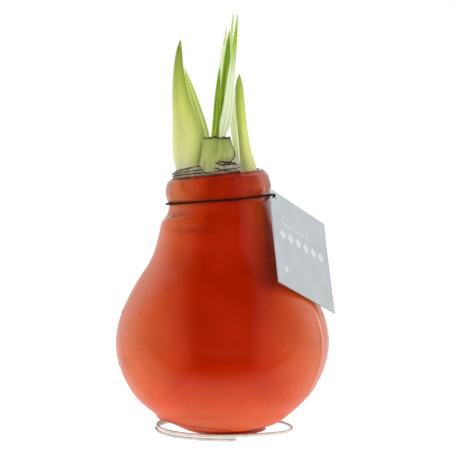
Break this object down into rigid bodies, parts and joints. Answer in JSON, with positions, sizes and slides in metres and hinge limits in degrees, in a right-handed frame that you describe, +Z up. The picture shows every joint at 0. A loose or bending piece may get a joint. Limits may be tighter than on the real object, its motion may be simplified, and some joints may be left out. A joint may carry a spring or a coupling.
{
  "type": "waxed amaryllis bulb",
  "caption": "Flower bulb dipped in coloured wax, with buds and leaves shooting from its neck, on a wire ring stand, with a cord and a card tag.",
  "frame": {"origin": "on the table, under the middle of the whole model's box", "axes": "+Z up along the shoots, -Y towards the side with the cut leaf base and the tag, +X to the right"},
  "size_m": [0.095, 0.0916, 0.1804],
  "materials": {
    "wax": "glossy dipped wax, orange red, with pinholes and soft folds",
    "dry_scale": "dry papery bulb skin, grey brown",
    "bud": "smooth waxy plant skin, pale at the foot and green at the tip",
    "cut_leaf": "olive green fleshy leaf base with a dry brown cut rim",
    "leaf": "satin young leaf with fine lengthwise veins",
    "cord": "black covered elastic cord",
    "card": "pale grey blue card with white lines",
    "wire": "galvanised steel wire"
  },
  "bodies": {
    "root": {"wax_coat": "wax", "bulb": "dry_scale", "flower_bud_left": "bud", "flower_bud_right": "bud", "cut_leaf_base": "cut_leaf", "leaf_back_left_near": "leaf", "leaf_back_left_far": "leaf", "leaf_middle_left": "leaf", "leaf_middle_pale": "leaf", "leaf_middle_green": "leaf", "leaf_middle_thin": "leaf", "leaf_middle_broad": "leaf", "leaf_right": "leaf", "neck_cord": "cord", "tag": "card", "wire_stand": "wire"}
  },
  "joints": []
}
